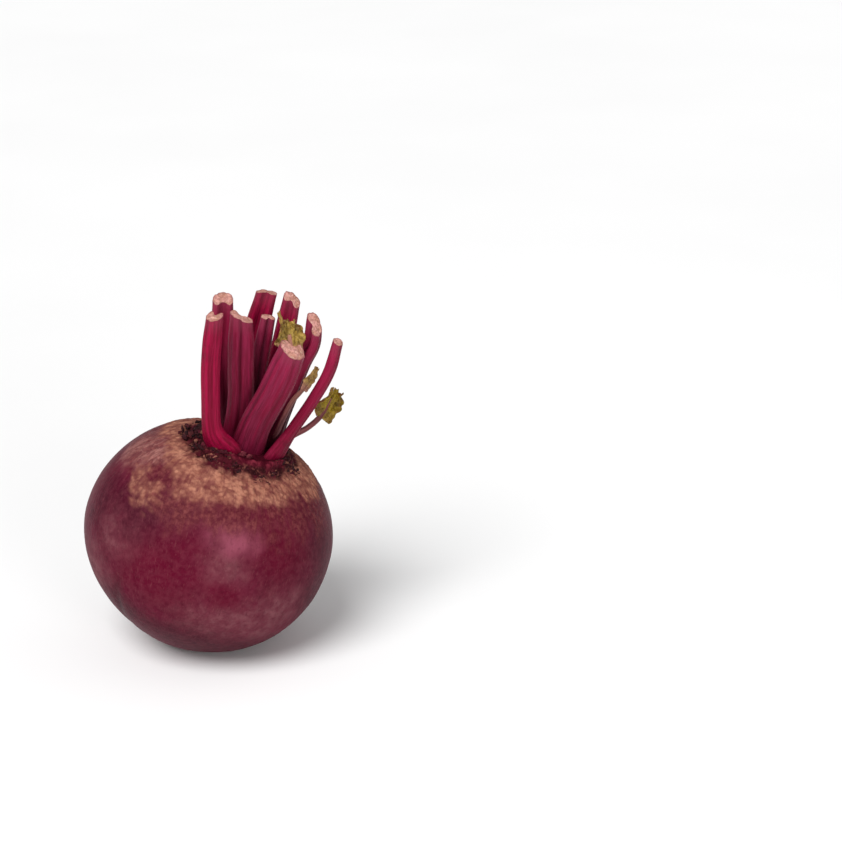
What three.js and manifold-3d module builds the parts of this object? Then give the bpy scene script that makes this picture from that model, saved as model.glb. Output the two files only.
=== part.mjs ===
// A globe beetroot as it is sold loose: the swollen root with its corky crown and trimmed tail,
// the leaf stalks cut short above it, and the young leaves in the heart cut with them.
// Millimetres, +Z up. The origin is the middle of the small flat that it rests on.
// The root leans a little to the right (+X) and forward (-Y), as a round root settles on a table.
import * as THREE from 'three';
import { mergeVertices } from 'three/addons/utils/BufferGeometryUtils.js';
import Module from 'manifold-3d';

// The swollen root
const ROOT_RADIUS = 40; // half of the root's greatest width
const MIDDLE = [-1, -0.5, 37.4]; // of the root; so low that the table cuts its small flat
const LEAN = 23; // degrees between the root's axis and the vertical
const LEAN_TOWARDS = -18; // degrees from +X, so to the right and a little forward
const CROWN_SINK = 0.135; // share of the radius by which the top is flattened
const CROWN_SPREAD = 42; // degrees from the axis over which that fades
const TAPER = 0.05; // share of the radius lost towards the tail
const SWELL = 0.016; // share of the radius by which one side is fuller than the other
const OVAL = 0.009; // share by which it is out of round
const DENTS = [0.006, 0.004]; // shares, of its broad and its narrow hollows
const TAIL_RADIUS = 4.2; // of the trimmed tap root
const TAIL_LIP = 0.8; // that the knife left of it
const TAIL_DIMPLE = 1.4; // depth to which its middle dried in
const ROOT_SIDES = 56;
const ROOT_RINGS = 36;
const RINGS_CROWD = 0.22; // how much the rings crowd towards the crown and the tail

// The neck that carries the leaves, and the stubs that fallen leaves left round it
const NECK_RADIUS = 14; // along the surface from the crown's middle
const NECK_RIDGE = 1.7; // height of the rim round the neck
const NECK_SPREAD = 3; // half of the rim's width
const SCARS = 46;
const SCAR_LONG = 4.2;
const SCAR_THICK = 2;
const SCAR_BAND = [14, 23]; // distance along the surface that the stubs cover

// The leaf stalks
const STALK_SIDES = 20;
const STALK_STEPS = 10;
const CLASP_REACH = 0.3; // share of its length over which the wide foot fades
const RIBS = 10; // strings round a stalk's whole girth
const RIB_HEIGHT = 0.045; // share of the half width
const CHANNEL = 0.34; // depth of the groove on the inner face, as a share of the thickness
const CHANNEL_WIDE = 0.5; // its half width, as a share of the stalk's
const DRAWN_IN = 0.12; // share by which the cut end has dried and shrunk

// The young leaves
const BLADE_THICK = 0.9;
const BLADE_STEPS = 8;
const BLADE_CUP = 1.4; // how far its edges curl forward
const RAGGED = 0.6; // height of the teeth along its cut end
const CRINKLES = [0.9, 0.5]; // heights of its broad and its narrow waves
const FULL_BLADE = 10; // width of a blade that has all of its waves; a narrower one has less
const STEM_SIDES = 8;

const GAP = 0.3; // between neighbouring solids
const SEED = 41;

// Each stalk: its width and thickness, how much wider its foot is where it clasps the neck (clasp),
// where its grooved face looks (degrees from +X), how the knife's cut slopes across and through it,
// and the line of its middle from the neck to the cut. The outer ones come first.
const STALKS = [
  { name: 'stalk_front_left', wide: 6.1, thick: 5.6, clasp: 0.8, faces: 62, slope: [0, 0.6],
    line: [[5.6, -11, 69], [1.6, -14, 77], [1.1, -15, 88], [1.6, -14, 101.5], [3.1, -12.5, 114.5]] },
  { name: 'stalk_right', wide: 4.1, thick: 3.7, clasp: 0.8, faces: 130, slope: [-0.2, 0.6],
    line: [[19.5, -7.5, 64], [26.5, -8, 74.5], [33, -8, 84], [38.5, -7.5, 93.5], [41.5, -6.5, 103]] },
  { name: 'stalk_back_left', wide: 7.4, thick: 5.6, clasp: 0.3, faces: -84, slope: [0, -0.8],
    line: [[5.5, 0.5, 70], [6, 3.5, 81.5], [5.5, 6.5, 97], [6, 7.5, 113.6]] },
  { name: 'stalk_back', wide: 7.6, thick: 5.8, clasp: 0.4, faces: -95, slope: [0.15, -0.15],
    line: [[10, 4, 68.5], [12, 7.5, 83], [15.5, 10.5, 99], [20, 11.5, 114.5]] },
  { name: 'stalk_back_right', wide: 6.6, thick: 5.8, clasp: 0.5, faces: -104, slope: [-0.4, -0.62],
    line: [[15, 4, 66.5], [20, 8.5, 82.5], [24.5, 11.5, 97], [28, 12.5, 111.5]] },
  { name: 'stalk_far_right', wide: 6.8, thick: 6, clasp: 0.3, faces: -150, slope: [-1.05, -0.15],
    line: [[18.5, 0, 64.5], [25, 2.5, 80.5], [30.5, 5, 93], [33.7, 6, 99], [34.7, 6.5, 105]] },
  { name: 'stalk_front', wide: 10, thick: 7.4, clasp: 0.1, faces: 100, slope: [0.16, 0.53],
    line: [[11.5, -6.5, 67], [15, -9.5, 77.5], [21.5, -12.5, 90.5], [27, -14, 103.5]] },
  { name: 'stalk_left', wide: 8.2, thick: 6, clasp: 0.1, faces: 82, slope: [0.42, 0.2],
    line: [[8.5, -2, 68.5], [10.5, -3.5, 83.5], [11, -4.5, 97.5], [11.5, -4.5, 111.5]] },
  { name: 'stalk_inner', wide: 5.4, thick: 4, clasp: 0.3, faces: -70, slope: [0, -0.3],
    line: [[13.3, -1, 67], [15.1, 1.5, 83.5], [17.6, 2, 97.5], [20, 2, 109]] },
];

// Each young leaf: the width of its stem at the foot and at the blade, the blade's width and the share
// of the line where it starts, where it looks (degrees from +X), how far it is turned over (degrees),
// how far the lobe on its left stands up (lobe), and the line from the neck to its tip.
const YOUNG_LEAVES = [
  { name: 'young_leaf_heart', stem: [3, 4.6], blade: 10, from: 0.74, faces: -80, turn: 20, lobe: 3.4,
    line: [[15.5, -2, 65.5], [19, -1, 79], [24.5, -0.5, 93], [26.5, 0, 100], [25.2, 0.5, 108]] },
  { name: 'young_leaf_right', stem: [2.2, 1.6], blade: 3, from: 0.74, faces: -60, turn: -15, lobe: 0,
    line: [[19, -2, 64.5], [23.5, -2, 75.5], [27, -1.5, 82], [31, -1.5, 86.5], [35, -1, 93]] },
  { name: 'young_leaf_low', stem: [2.2, 1.8], blade: 9, from: 0.66, faces: -75, turn: 10, lobe: 0,
    line: [[19.5, 1, 64.5], [27, 1, 69.5], [32, 1.5, 72], [36.5, 2, 76], [41, 3, 84]] },
];

const UP = new THREE.Vector3(0, 0, 1);
const radians = THREE.MathUtils.degToRad;
const smooth = THREE.MathUtils.smoothstep;
const rootAxis = new THREE.Vector3(
  Math.sin(radians(LEAN)) * Math.cos(radians(LEAN_TOWARDS)),
  Math.sin(radians(LEAN)) * Math.sin(radians(LEAN_TOWARDS)),
  Math.cos(radians(LEAN)),
);
const rootTurn = new THREE.Quaternion().setFromUnitVectors(UP, rootAxis);
const rootCentre = new THREE.Vector3(...MIDDLE);

const wasm = await Module();
wasm.setup();

// A closed geometry as a solid that can be cut and joined
function solidOf(geometry) {
  const bare = geometry.clone();
  bare.deleteAttribute('normal');
  bare.deleteAttribute('uv');
  const merged = mergeVertices(bare, 1e-4);
  return new wasm.Manifold(new wasm.Mesh({
    numProp: 3,
    vertProperties: new Float32Array(merged.attributes.position.array),
    triVerts: new Uint32Array(merged.index.array),
  }));
}

// The largest body of a solid as a geometry, without the scraps that a cut can leave
function geometryOf(solid) {
  const bodies = solid.decompose().sort((a, b) => b.volume() - a.volume());
  const mesh = bodies[0].getMesh();
  const geometry = new THREE.BufferGeometry();
  geometry.setAttribute('position', new THREE.BufferAttribute(mesh.vertProperties, 3));
  geometry.setIndex(new THREE.BufferAttribute(mesh.triVerts, 1));
  geometry.computeVertexNormals();
  return geometry;
}

// Moves every vertex of a geometry by a rule
function reshape(geometry, rule) {
  const places = geometry.attributes.position;
  const point = new THREE.Vector3();
  for (let i = 0; i < places.count; i++) {
    rule(point.fromBufferAttribute(places, i));
    places.setXYZ(i, point.x, point.y, point.z);
  }
  return geometry;
}

// Random numbers from 0 to 1, the same in every run
function seeded(seed) {
  let state = seed;
  return () => {
    state = (state * 1664525 + 1013904223) % 4294967296;
    return state / 4294967296;
  };
}

// The root's radius in a direction: theta from the crown's axis, phi round it from the right
function rootRadius(theta, phi) {
  const out = Math.sin(theta);
  const crown = CROWN_SINK * Math.exp(-((theta / radians(CROWN_SPREAD)) ** 2));
  const taper = TAPER * smooth(theta, radians(95), radians(150));
  const swell = SWELL * Math.cos(phi) * Math.sin(2 * theta) ** 2;
  const oval = OVAL * out * Math.sin(2 * phi + 0.6);
  const broad = DENTS[0] * out ** 2 * Math.sin(3 * phi + 2 * theta);
  const narrow = DENTS[1] * out ** 3 * Math.sin(5 * phi - 3 * theta);
  const fromNeck = (theta * ROOT_RADIUS - NECK_RADIUS) / NECK_SPREAD;
  const rim = NECK_RIDGE * (1 + 0.3 * Math.sin(4 * phi)) * Math.exp(-(fromNeck ** 2));
  const fromTail = (Math.PI - theta) * ROOT_RADIUS;
  const lip = TAIL_LIP * (1 - smooth(fromTail, TAIL_RADIUS * 0.8, TAIL_RADIUS * 1.9));
  const dimple = TAIL_DIMPLE * Math.exp(-((fromTail / TAIL_RADIUS * 2) ** 2));
  return ROOT_RADIUS * (1 - crown - taper + swell + oval + broad + narrow) + rim + lip - dimple;
}

// A point of the root's surface, raised by a height
function onRoot(theta, phi, height = 0) {
  const reach = rootRadius(theta, phi) + height;
  return new THREE.Vector3(
    reach * Math.sin(theta) * Math.cos(phi),
    reach * Math.sin(theta) * Math.sin(phi),
    reach * Math.cos(theta),
  ).applyQuaternion(rootTurn).add(rootCentre);
}

// The root alone, grown outwards by a distance
function rootBody(grow = 0) {
  const ball = new THREE.SphereGeometry(1, ROOT_SIDES, ROOT_RINGS).rotateX(Math.PI / 2);
  return solidOf(reshape(ball, (point) => {
    const even = Math.acos(THREE.MathUtils.clamp(point.z, -1, 1));
    const theta = even - RINGS_CROWD * Math.sin(2 * even);
    point.copy(onRoot(theta, Math.atan2(point.y, point.x), grow));
  }));
}

// The stubs of old leaves round the neck: ragged chips that lie along it
function leafScars() {
  const random = seeded(SEED);
  const chips = [];
  for (let i = 0; i < SCARS; i++) {
    const phi = (i + random()) / SCARS * Math.PI * 2;
    const away = THREE.MathUtils.lerp(...SCAR_BAND, random() ** 1.5);
    const size = 0.55 + 0.6 * random();
    const chip = new THREE.IcosahedronGeometry(0.5, 0);
    chip.scale(SCAR_LONG * size, SCAR_THICK * size, SCAR_THICK * size * (0.9 + 0.8 * random()));
    chip.rotateX(0.5 * (random() - 0.5));
    chip.rotateZ(phi + Math.PI / 2 + 0.9 * (random() - 0.5));
    chip.applyQuaternion(rootTurn);
    const place = onRoot(away / ROOT_RADIUS, phi);
    chips.push(solidOf(chip.translate(place.x, place.y, place.z)));
  }
  return wasm.Manifold.union(chips);
}

// The root with its stubs, which stop short of the leaves, cut flat where it rests
function rootGeometry(leaves) {
  const table = new THREE.BoxGeometry(100, 100, 20).translate(0, 0, -10);
  const scars = leaves.reduce((left, leaf) => left.subtract(leaf), leafScars());
  return geometryOf(rootBody().add(scars).subtract(solidOf(table)));
}

// The line of a stalk, and the frame that its section lies in at a share of its length:
// across its width, and inwards to the side with the groove
function frameAt(line, faces, share) {
  const reach = THREE.MathUtils.clamp(share, 0, 1);
  const middle = line.getPointAt(reach);
  const along = line.getTangentAt(reach);
  const facing = new THREE.Vector3(Math.cos(radians(faces)), Math.sin(radians(faces)), 0);
  const inward = facing.addScaledVector(along, -facing.dot(along)).normalize();
  return { middle, along, inward, across: new THREE.Vector3().crossVectors(along, inward) };
}

function lineOf(points) {
  return new THREE.CatmullRomCurve3(points.map((p) => new THREE.Vector3(...p)));
}

// A leaf stalk: ribbed outside, grooved inside, wide where it clasps the neck, cut across at the top
function stalkSolid({ line, wide, thick, clasp, faces, slope }, grow = 0) {
  const curve = lineOf(line);
  const rod = new THREE.CylinderGeometry(1, 1, 1, STALK_SIDES, STALK_STEPS);
  return solidOf(reshape(rod, (point) => {
    const share = point.y + 0.5;
    const { middle, along, inward, across } = frameAt(curve, faces, share);
    const end = 1 - DRAWN_IN * smooth(share, 0.8, 1);
    const foot = (1 + clasp * (1 - smooth(share, 0, CLASP_REACH))) * end;
    const radius = Math.hypot(point.x, point.z);
    const angle = Math.atan2(point.z, point.x);
    const inner = Math.max(0, Math.sin(angle));
    const rib = 1 + RIB_HEIGHT * Math.cos(RIBS * angle) * (1 - inner);
    const sunk = Math.exp(-((Math.cos(angle) / CHANNEL_WIDE) ** 2)) * smooth(share, 0.05, 0.3);
    const sideways = radius * Math.cos(angle) * rib * (wide / 2 * foot + grow);
    const groove = CHANNEL * thick * inner * sunk;
    const inwards = radius * (Math.sin(angle) * rib * (thick / 2 * end + grow) - groove);
    const cut = (slope[0] * sideways + slope[1] * inwards) * share ** 8;
    point.copy(middle).addScaledVector(across, sideways).addScaledVector(inward, inwards);
    point.addScaledVector(along, cut);
  }));
}

// The stem of a young leaf
function stemSolid({ line, stem, faces }, grow) {
  const curve = lineOf(line);
  const rod = new THREE.CylinderGeometry(1, 1, 1, STEM_SIDES, STALK_STEPS);
  return solidOf(reshape(rod, (point) => {
    const share = point.y + 0.5;
    const { middle, inward, across } = frameAt(curve, faces, share * 0.92);
    const half = THREE.MathUtils.lerp(...stem, share) / 2;
    const sideways = point.x * (half + grow);
    const inwards = point.z * (half * 0.7 + grow);
    point.copy(middle).addScaledVector(across, sideways).addScaledVector(inward, inwards);
  }));
}

// Its blade: a crinkled sheet that widens from the stem and ends ragged
function bladeSolid({ line, blade, from, faces, turn, lobe }, grow) {
  const curve = lineOf(line);
  const full = Math.min(1, blade / FULL_BLADE);
  const sheet = new THREE.BoxGeometry(2, 1, 1, BLADE_STEPS, BLADE_STEPS, 1);
  return solidOf(reshape(sheet, (point) => {
    const up = point.y + 0.5;
    const side = point.x;
    const sheetSide = point.z;
    const { middle, along, inward, across } = frameAt(curve, faces + turn, from + (1 - from) * up);
    const widens = 0.5 + 0.5 * Math.sin(Math.PI * Math.min(1, 0.1 + up));
    const lobes = 0.09 * Math.sin(9 * up + 2 * side);
    const broad = CRINKLES[0] * Math.sin(2.6 * side + 5 * up);
    const narrow = CRINKLES[1] * Math.sin(5.5 * side - 8 * up);
    const waves = full * ((broad + narrow) * Math.abs(side) + BLADE_CUP * side ** 2);
    point.copy(middle).addScaledVector(across, side * (blade / 2 + grow) * (widens + lobes));
    point.addScaledVector(inward, waves + BLADE_THICK * sheetSide + 2 * grow * sheetSide);
    const teeth = full * RAGGED * Math.sin(7 * side) * up;
    point.addScaledVector(along, teeth + lobe * smooth(-side, 0.2, 0.6) * up);
  }));
}

// A young leaf: a thin stem that carries a blade, both cut off by the same knife as the stalks
function youngLeafSolid(spec, grow = 0) {
  return stemSolid(spec, grow).add(bladeSolid(spec, grow));
}

function materialOf(colour, roughness) {
  return new THREE.MeshStandardMaterial({ color: colour, roughness, metalness: 0 });
}

function meshOf(name, geometry, material) {
  const mesh = new THREE.Mesh(geometry, material);
  mesh.name = name;
  return mesh;
}

const skin = materialOf(0x6b2636, 0.5);
const stalkSkin = materialOf(0x8f1f49, 0.42);
const leafGreen = materialOf(0xa8953d, 0.6);

const beetroot = new THREE.Group();
beetroot.name = 'beetroot';

// What grows inside the outer stalks is trimmed to leave them room, as it is pressed flat there
const standing = [];
const clearOfRoot = rootBody(GAP);
function plant(build, spec, material) {
  let solid = build(spec).subtract(clearOfRoot);
  for (const neighbour of standing) solid = solid.subtract(neighbour);
  beetroot.add(meshOf(spec.name, geometryOf(solid), material));
  standing.push(build(spec, GAP));
}
for (const spec of STALKS) plant(stalkSolid, spec, stalkSkin);
for (const spec of YOUNG_LEAVES) plant(youngLeafSolid, spec, leafGreen);
beetroot.add(meshOf('root', rootGeometry(standing), skin));

export default beetroot;
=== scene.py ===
# %% [markdown]
# # A beetroot on a table
#
# This lesson dresses the solid model of a globe beetroot: a swollen root with a corky crown, a tail
# that a knife took off, leaf stalks cut short, and a few small leaves left in the heart. The solids
# give the sizes. Here each one gets a finer mesh of the same form and a surface that looks grown.

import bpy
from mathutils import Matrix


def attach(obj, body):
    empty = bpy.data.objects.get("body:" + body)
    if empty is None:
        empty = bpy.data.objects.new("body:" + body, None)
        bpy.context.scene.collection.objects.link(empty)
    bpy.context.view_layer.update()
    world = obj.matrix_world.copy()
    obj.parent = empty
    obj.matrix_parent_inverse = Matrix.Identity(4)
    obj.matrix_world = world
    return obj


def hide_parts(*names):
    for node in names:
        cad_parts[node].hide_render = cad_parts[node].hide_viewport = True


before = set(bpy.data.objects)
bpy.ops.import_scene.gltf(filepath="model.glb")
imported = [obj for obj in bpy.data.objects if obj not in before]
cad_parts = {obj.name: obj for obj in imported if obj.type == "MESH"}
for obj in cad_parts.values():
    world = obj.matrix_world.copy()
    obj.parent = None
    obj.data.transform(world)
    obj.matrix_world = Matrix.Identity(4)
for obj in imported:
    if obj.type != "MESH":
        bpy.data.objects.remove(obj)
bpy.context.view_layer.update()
print("solids:", sorted(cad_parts))

# %% Imports
import math
import random

import bpy
import numpy as np
from mathutils import Matrix, Vector, noise

MM = 0.001  # everything below is thought out in millimetres and stored in metres

# %% [markdown]
# ## The camera first
#
# The picture is taken from a little above, from far enough away that nothing looks stretched. The
# beetroot stands left of the frame's middle, so the camera looks past it to the right. The Standard
# view shows the colours as they are picked, without a film curve that would fade the deep reds.

# %% Camera
VIEW_HEIGHT = math.radians(22)  # how far above the level the camera stands
VIEW_DISTANCE = 800
VIEW_PIVOT = Vector((-1, -0.5, 37.5))
LOOK_ASIDE = (70.417, 34.112)  # right and up from the pivot to the middle of the frame
LENS = 105.2  # a long lens, on a sensor 36 mm wide

towards = Vector((0, -math.cos(VIEW_HEIGHT), math.sin(VIEW_HEIGHT)))
picture_up = Vector((0, math.sin(VIEW_HEIGHT), math.cos(VIEW_HEIGHT)))
stand = VIEW_PIVOT + towards * VIEW_DISTANCE
aim = VIEW_PIVOT + Vector((1, 0, 0)) * LOOK_ASIDE[0] + picture_up * LOOK_ASIDE[1]

bpy.ops.object.camera_add(location=stand * MM)
camera = bpy.context.object
camera.rotation_euler = (aim - stand).to_track_quat("-Z", "Y").to_euler()
camera.data.lens = LENS
camera.data.sensor_width = 36
camera.data.clip_start = 0.01
bpy.context.scene.camera = camera
bpy.context.scene.view_settings.view_transform = "Standard"
print("camera at", [round(v, 3) for v in camera.location])

# %% [markdown]
# ## Small helpers
#
# Operators act on whatever is selected, so one helper makes an object the only selected one. Two more
# read and write all vertices at once, in millimetres, for the steps that follow a rule.

# %% Helpers for objects
def only(obj):
    bpy.ops.object.select_all(action="DESELECT")
    obj.select_set(True)
    bpy.context.view_layer.objects.active = obj


def points_of(obj):
    flat = np.empty(len(obj.data.vertices) * 3)
    obj.data.vertices.foreach_get("co", flat)
    return flat.reshape(-1, 3) / MM


def move_points(obj, points):
    obj.data.vertices.foreach_set("co", (points * MM).ravel())
    obj.data.update()


def note(obj, name, values):
    """Stores a number or a vector for each vertex, for the materials to read."""
    values = np.asarray(values, float)
    kind, field = ("FLOAT", "value") if values.ndim == 1 else ("FLOAT_VECTOR", "vector")
    layer = obj.data.attributes.new(name, kind, "POINT")
    layer.data.foreach_set(field, values.ravel())


def copy_of(obj, name):
    """A copy with a mesh of its own."""
    twin = bpy.data.objects.new(name, obj.data.copy())
    bpy.context.collection.objects.link(twin)
    return twin


def smooth(obj, angle=None):
    only(obj)
    if angle is None:
        bpy.ops.object.shade_smooth()
    else:
        bpy.ops.object.shade_smooth_by_angle(angle=math.radians(angle))


def join(parts, name):
    bpy.ops.object.select_all(action="DESELECT")
    for part in parts:
        part.select_set(True)
    bpy.context.view_layer.objects.active = parts[0]
    bpy.ops.object.join()
    joined = bpy.context.object
    joined.name = name
    return joined


def count(obj):
    obj.data.calc_loop_triangles()
    return len(obj.data.loop_triangles)


# %% Helpers for rules
def step(value, low, high):
    """0 below low, 1 above high, and an even ease between them."""
    t = np.clip((value - low) / (high - low), 0, 1)
    return t * t * (3 - 2 * t)


def bell(value, width):
    return np.exp(-((value / width) ** 2))


def turn_between(angle, other):
    """The angle from other to angle, from minus pi to pi."""
    return np.arctan2(np.sin(angle - other), np.cos(angle - other))


def cloud(points, size, seed=0, octaves=1):
    """Smooth noise from about -1 to 1 whose lumps are about size millimetres across."""
    shift = Vector((seed * 17.3, seed * 5.1, seed * 11.7))
    total = np.zeros(len(points))
    for octave in range(octaves):
        scale = 2 ** octave / size
        layer = [noise.noise(Vector(p) * scale + shift) for p in points]
        total += np.array(layer) / 1.8 ** octave
    return total


# %% [markdown]
# ## The root
#
# The real root is a slightly flattened ball that leans, with a sunken crown, a rim round the neck
# where the leaves stand, and a small round cut where the tail was. It starts as a UV sphere, because
# its rings lie round the root's own axis as the cork and the leaf scars do. By hand it would now be
# sculpted. Here the same rule that shapes the solid moves the vertices, so the two agree everywhere.

# %% Sizes of the root
ROOT_RADIUS = 40
MIDDLE = np.array((-1, -0.5, 37.4))
LEAN = math.radians(23)
LEAN_TOWARDS = math.radians(-18)
NECK_RADIUS = 14  # along the surface from the crown's middle
NECK_RIDGE = 1.7
TAIL_RADIUS = 4.2

root_axis = Vector((
    math.sin(LEAN) * math.cos(LEAN_TOWARDS),
    math.sin(LEAN) * math.sin(LEAN_TOWARDS),
    math.cos(LEAN),
))
root_turn = Vector((0, 0, 1)).rotation_difference(root_axis)
TURN = np.array(root_turn.to_matrix())


def root_radius(theta, phi):
    out = np.sin(theta)
    crown = 0.135 * bell(theta, math.radians(42))
    taper = 0.05 * step(theta, math.radians(95), math.radians(150))
    swell = 0.016 * np.cos(phi) * np.sin(2 * theta) ** 2
    oval = 0.009 * out * np.sin(2 * phi + 0.6)
    broad = 0.006 * out ** 2 * np.sin(3 * phi + 2 * theta)
    narrow = 0.004 * out ** 3 * np.sin(5 * phi - 3 * theta)
    rim = NECK_RIDGE * (1 + 0.3 * np.sin(4 * phi)) * bell(theta * ROOT_RADIUS - NECK_RADIUS, 3)
    from_tail = (math.pi - theta) * ROOT_RADIUS
    lip = 0.8 * (1 - step(from_tail, TAIL_RADIUS * 0.8, TAIL_RADIUS * 1.9))
    dimple = 1.4 * bell(from_tail, TAIL_RADIUS / 2)
    return ROOT_RADIUS * (1 - crown - taper + swell + oval + broad + narrow) + rim + lip - dimple


def on_root(theta, phi, height=0.0):
    reach = root_radius(theta, phi) + height
    local = np.stack((
        reach * np.sin(theta) * np.cos(phi),
        reach * np.sin(theta) * np.sin(phi),
        reach * np.cos(theta),
    ), -1)
    return local @ TURN.T + MIDDLE


# %% The ball
ROOT_SEGMENTS = 340
ROOT_RINGS = 215
bpy.ops.object.select_all(action="DESELECT")
bpy.ops.mesh.primitive_uv_sphere_add(segments=ROOT_SEGMENTS, ring_count=ROOT_RINGS, radius=MM)
root = bpy.context.object
root.name = "beetroot_root"
ball = points_of(root)
theta = np.arccos(np.clip(ball[:, 2], -1, 1))
phi = np.arctan2(ball[:, 1], ball[:, 0])
theta = theta - 0.22 * np.sin(2 * theta)  # crowds the rings towards the crown and the tail
print("root starts with", len(ball), "points")

# %% [markdown]
# ### Where the skin turns to cork
#
# Round the crown the skin has turned to tan cork that ends unevenly on the shoulder, so the distance
# from the crown is disturbed by noise before it is compared. The same masks raise the relief here and
# colour the material later, so the two always lie together.

# %% Masks of the crown and the tail
from_crown = theta * ROOT_RADIUS
surface = on_root(theta, phi)
GROWTH_TWIST = 0.5  # on the left the cork's streaks lean off the line from crown to tail
left_side = bell(turn_between(phi, math.radians(-140)), math.radians(38))
leaning = phi - GROWTH_TWIST * (theta - 1.0) * left_side
around = np.stack((np.cos(leaning), np.sin(leaning)), -1)
streak_space = np.column_stack((around * 26, from_crown * 0.22))

CORK_REACH = 29.5  # millimetres from the crown's middle, on average
CORK_TONGUES = ((-120, 22, 6.5), (60, 35, 5), (150, 22, 4), (-40, 16, -1.5))  # degrees, spread, further
reach = np.full(len(phi), CORK_REACH)
for where, spread, further in CORK_TONGUES:
    reach += further * bell(turn_between(phi, math.radians(where)), math.radians(spread))
uneven = 3.2 * cloud(surface, 9, 1) + 2.4 * cloud(streak_space, 2.6, 2, octaves=2)
uneven += 1.6 * cloud(surface, 2.6, 20, octaves=2)
cork = 1 - step(from_crown + uneven, reach - 2.2, reach + 2.6)
russet = 1 - step(from_crown + 1.4 * uneven, reach + 6, reach + 15)
SCAR_REACH = 20.5
SCAR_TONGUES = ((178, 32, 3.2), (-132, 24, 2.6), (-75, 26, -0.2), (-30, 24, -1.2), (60, 40, 1.0))
scar_reach = np.full(len(phi), SCAR_REACH)
for where, spread, further in SCAR_TONGUES:
    scar_reach += further * bell(turn_between(phi, math.radians(where)), math.radians(spread))
ragged = 2.5 * cloud(surface, 3.6, 3, octaves=3)
scar = 1 - step(from_crown + ragged, scar_reach - 2.0, scar_reach + 1.2)
RIM_AT = math.radians(-66)  # the middle of the fleshy rim in front
RIM_REACH = 14.3
off_rim = turn_between(phi, RIM_AT)
front = step(off_rim, math.radians(-54), math.radians(-42))
front *= 1 - step(off_rim, math.radians(36), math.radians(50))
rim_line = RIM_REACH + 0.5 * cloud(surface, 7, 18)
rim = front * bell(from_crown - rim_line, 1.15)
neck = 1 - step(from_crown, NECK_RADIUS + 0.5, NECK_RADIUS + 2.5)
from_tail = math.pi * ROOT_RADIUS - from_crown
tail_cut = 1 - step(from_tail + 0.5 * cloud(surface, 3, 4), 3.6, 5.0)
print("cork covers", round(float(cork.mean()), 3), "of the root's points")

# %% [markdown]
# ### Patches on the skin
#
# The skin is not one red. Where it lay in damp soil it is grey and dull, plum patches make it darker,
# and between them the clean skin is a saturated crimson. Two plum patches on the right side are painted
# shade. The bloom patches are the skin's pale bloom with a painted highlight on it, and the dust
# patches are pale dust, with a painted shine where they lie at the upper left. Each patch is a soft
# oval at a place given in degrees from the crown and round it, and noise frays its edge. The ones
# called finger are marks of cork beyond its edge. They were rubbed round the root, so their noise is
# stretched that way.

# %% Patch masks
# kind, degrees from the crown, degrees round it, half length down the root, half width, in mm
PATCHES = (
    ("finger", 61, -146, 4.6, 9), ("finger", 52, 35, 5, 9), ("finger", 58, 110, 4.5, 9),
    ("plum_and_shade", 70, -140, 9, 12), ("plum_and_shade", 74, 20, 12, 10), ("plum_and_shade", 66, 95, 9, 12),
    ("grey", 84, -139, 7, 9), ("grey", 76, -86, 5, 8), ("grey", 103, -72, 9, 19),
    ("grey", 94, -52, 8, 11), ("grey", 112, -150, 9, 8), ("grey", 96, 60, 12, 16),
    ("grey", 88, 150, 9, 14), ("grey", 120, 0, 10, 14), ("grey", 118, 110, 9, 15),
    ("clean", 88, -113, 13, 13), ("clean", 89, -83, 4.5, 7), ("clean", 66, -60, 9, 11),
    ("clean", 84, 95, 10, 14), ("clean", 92, 0, 10, 12), ("clean", 78, 175, 8, 12),
    # bloom: the skin's pale bloom with a painted highlight on it
    ("bloom_and_highlight", 62, -86, 4.6, 7.5), ("bloom_and_highlight", 58, 60, 5, 8),
    ("plum_and_shade", 126, -76, 9, 26), ("plum_and_shade", 122, -128, 8, 9), ("plum_and_shade", 128, 40, 9, 20),
    # dust: pale dust, with a painted shine at the upper left
    ("dust_and_shine", 50, -176, 8, 9), ("dust_and_shine", 46, -160, 5, 4), ("dust_and_shine", 52, 84, 5, 6),
    # the first two plums here are painted shade on the right side
    ("plum_and_shade", 66, -24, 9, 7), ("plum_and_shade", 86, -26, 12, 8), ("plum_and_shade", 80, -160, 10, 6),
)
patches = {kind: np.zeros(len(phi)) for kind in ("finger", "plum_and_shade", "grey", "clean", "bloom_and_highlight", "dust_and_shine")}
fray = cloud(surface, 7, 14, octaves=3)
streaky_fray = cloud(streak_space, 1.5, 15, octaves=2)
rubbed_fray = cloud(np.column_stack((around * 8, from_crown * 0.8)), 1.5, 15, octaves=2)
for kind, down, round_it, long, wide in PATCHES:
    along = (theta - math.radians(down)) * ROOT_RADIUS / long
    beside = turn_between(phi, math.radians(round_it)) * np.sin(theta) * ROOT_RADIUS / wide
    away = np.hypot(along, beside) + 0.45 * fray
    away += 0.9 * rubbed_fray if kind == "finger" else 0.15 * streaky_fray
    soft = 0.35 if kind == "finger" else 0.75
    patches[kind] = np.maximum(patches[kind], 1 - step(away, 1 - soft, 1 + soft))
cork = np.maximum(cork, patches["finger"] * 0.62)
print("patches:", {kind: round(float(mask.mean()), 3) for kind, mask in patches.items()})

# %% [markdown]
# ### Relief
#
# The lumps are broad and shallow on the skin, scaly on the cork, and stepped and ragged where rings of
# old leaves stood. In front a low fleshy rim, the base of a torn leaf, joins the feet of two stalks.
# Two faint furrows run down opposite sides, where the side roots grew.

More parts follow.
